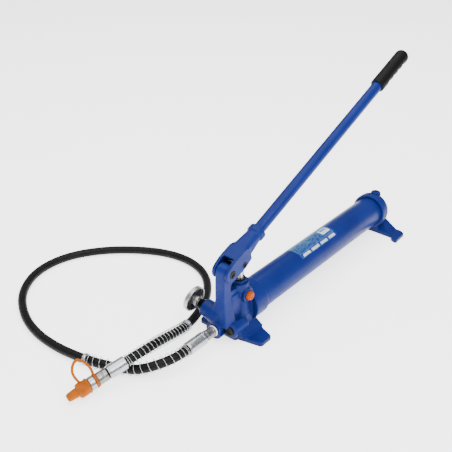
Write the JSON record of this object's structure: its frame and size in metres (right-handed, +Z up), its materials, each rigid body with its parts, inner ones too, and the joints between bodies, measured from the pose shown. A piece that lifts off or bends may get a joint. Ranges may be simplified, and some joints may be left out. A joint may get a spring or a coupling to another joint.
{
  "type": "hydraulic hand pump",
  "caption": "Lever-operated hydraulic hand pump with a horizontal tubular tank, round release knob and a flexible outlet hose ending in a capped quick coupler.",
  "frame": {"origin": "on the floor, straight below the axis of the pumping piston", "axes": "+X along the tank from the pump head to the rear cap, +Z up, +Y towards the release knob"},
  "size_m": [0.9506, 0.5617, 0.4383],
  "materials": {
    "blue_paint": "glossy royal blue enamel over castings and tube",
    "rod_paint": "glossy royal blue enamel over steel tube",
    "black_plastic": "moulded black plastic",
    "grip_rubber": "satin black moulded grip",
    "orange_plastic": "glossy orange moulding",
    "orange_rubber": "orange soft moulding",
    "steel": "turned steel",
    "zinc": "bright zinc plate",
    "dark_steel": "blackened steel",
    "spring_wire": "bright plated wire",
    "hose_rubber": "black wrapped rubber cover",
    "seal_black": "black sealing rubber",
    "seal_white": "white sealing ring",
    "label_film": "printed film in plain colour fields",
    "brass": "fine mesh"
  },
  "bodies": {
    "base": {"pump_body": "blue_paint", "reservoir_tube": "blue_paint", "tank_label": "label_film", "front_tank_seal": "seal_black", "rear_tank_seal": "seal_black", "rear_cap": "blue_paint", "filler_plug": "blue_paint", "filler_seal": "seal_black", "tie_rod": "steel", "tie_rod_washer": "zinc", "tie_rod_nut": "zinc", "intake_seat": "steel", "suction_filter": "brass", "intake_spring": "spring_wire", "outlet_spring": "spring_wire", "relief_spring": "spring_wire", "relief_screw": "steel", "front_plug": "black_plastic", "gauge_port_plug": "orange_plastic", "gland_seal": "seal_black", "gland_nut": "blue_paint", "wiper_ring": "seal_black", "fulcrum_pin": "dark_steel", "fulcrum_roll_pin": "dark_steel", "release_gland": "dark_steel", "port_seal": "seal_white", "hose_adapter": "steel", "ferrule_a": "zinc", "hose": "hose_rubber", "spring_guard_a": "spring_wire", "guard_clamp_a": "zinc", "guard_clamp_b": "zinc", "spring_guard_b": "spring_wire", "ferrule_b": "zinc", "end_nipple": "steel", "coupler_body": "steel", "cap_strap": "orange_rubber"},
    "handle": {"handle_socket": "blue_paint", "handle_rod": "rod_paint", "socket_set_screw": "dark_steel", "grip": "grip_rubber", "piston_pin": "dark_steel"},
    "piston_group": {"piston": "zinc", "piston_cup": "seal_black"},
    "valve_screw": {"release_stem": "steel", "stem_oring": "seal_black", "release_knob": "zinc", "knob_set_screw": "dark_steel"},
    "hose_cap": {"dust_cap": "orange_rubber"},
    "coupler_collar": {"coupler_ring": "zinc"},
    "intake_check": {"intake_ball": "steel"},
    "outlet_check": {"outlet_ball": "steel"},
    "relief_check": {"relief_ball": "steel"}
  },
  "joints": [
    {"name": "handle_pivot", "type": "hinge", "parent": "base", "child": "handle", "pos_m": [-0.0415, 0, 0.1565], "axis": [0, -1, 0], "range_deg": [-22, 28]},
    {"name": "piston_slide", "type": "slide", "parent": "base", "child": "piston_group", "axis": [0, 0, 1], "range_m": [-0.0135, 0.017]},
    {"name": "valve_turn", "type": "hinge", "parent": "base", "child": "valve_screw", "pos_m": [-0.048, 0, 0.0504], "axis": [0, 0.9848, 0.1736], "range_deg": [0, 360]},
    {"name": "cap_pull", "type": "slide", "parent": "base", "child": "hose_cap", "axis": [-0.948, 0.2427, -0.2061], "range_m": [0, 0.012], "deforming": ["cap_strap"]},
    {"name": "collar_turn", "type": "hinge", "parent": "base", "child": "coupler_collar", "pos_m": [-0.31006, 0.08189, 0.02167], "axis": [-0.948, 0.2427, -0.2061], "continuous": true},
    {"name": "intake_lift", "type": "slide", "parent": "base", "child": "intake_check", "axis": [-1, 0, 0], "range_m": [0, 0.0015], "stiffness_N_per_m": 200, "springref_m": -0.002, "deforming": ["intake_spring"]},
    {"name": "outlet_lift", "type": "slide", "parent": "base", "child": "outlet_check", "axis": [-1, 0, 0], "range_m": [0, 0.0015], "stiffness_N_per_m": 200, "springref_m": -0.002, "deforming": ["outlet_spring"]},
    {"name": "relief_lift", "type": "slide", "parent": "base", "child": "relief_check", "axis": [-1, 0, 0], "range_m": [0, 0.0015], "stiffness_N_per_m": 400, "springref_m": -0.002, "deforming": ["relief_spring"]}
  ],
  "couplings": [
    {"joint": "piston_slide", "follows": "handle_pivot", "m_per_rad": 0.03431}
  ]
}
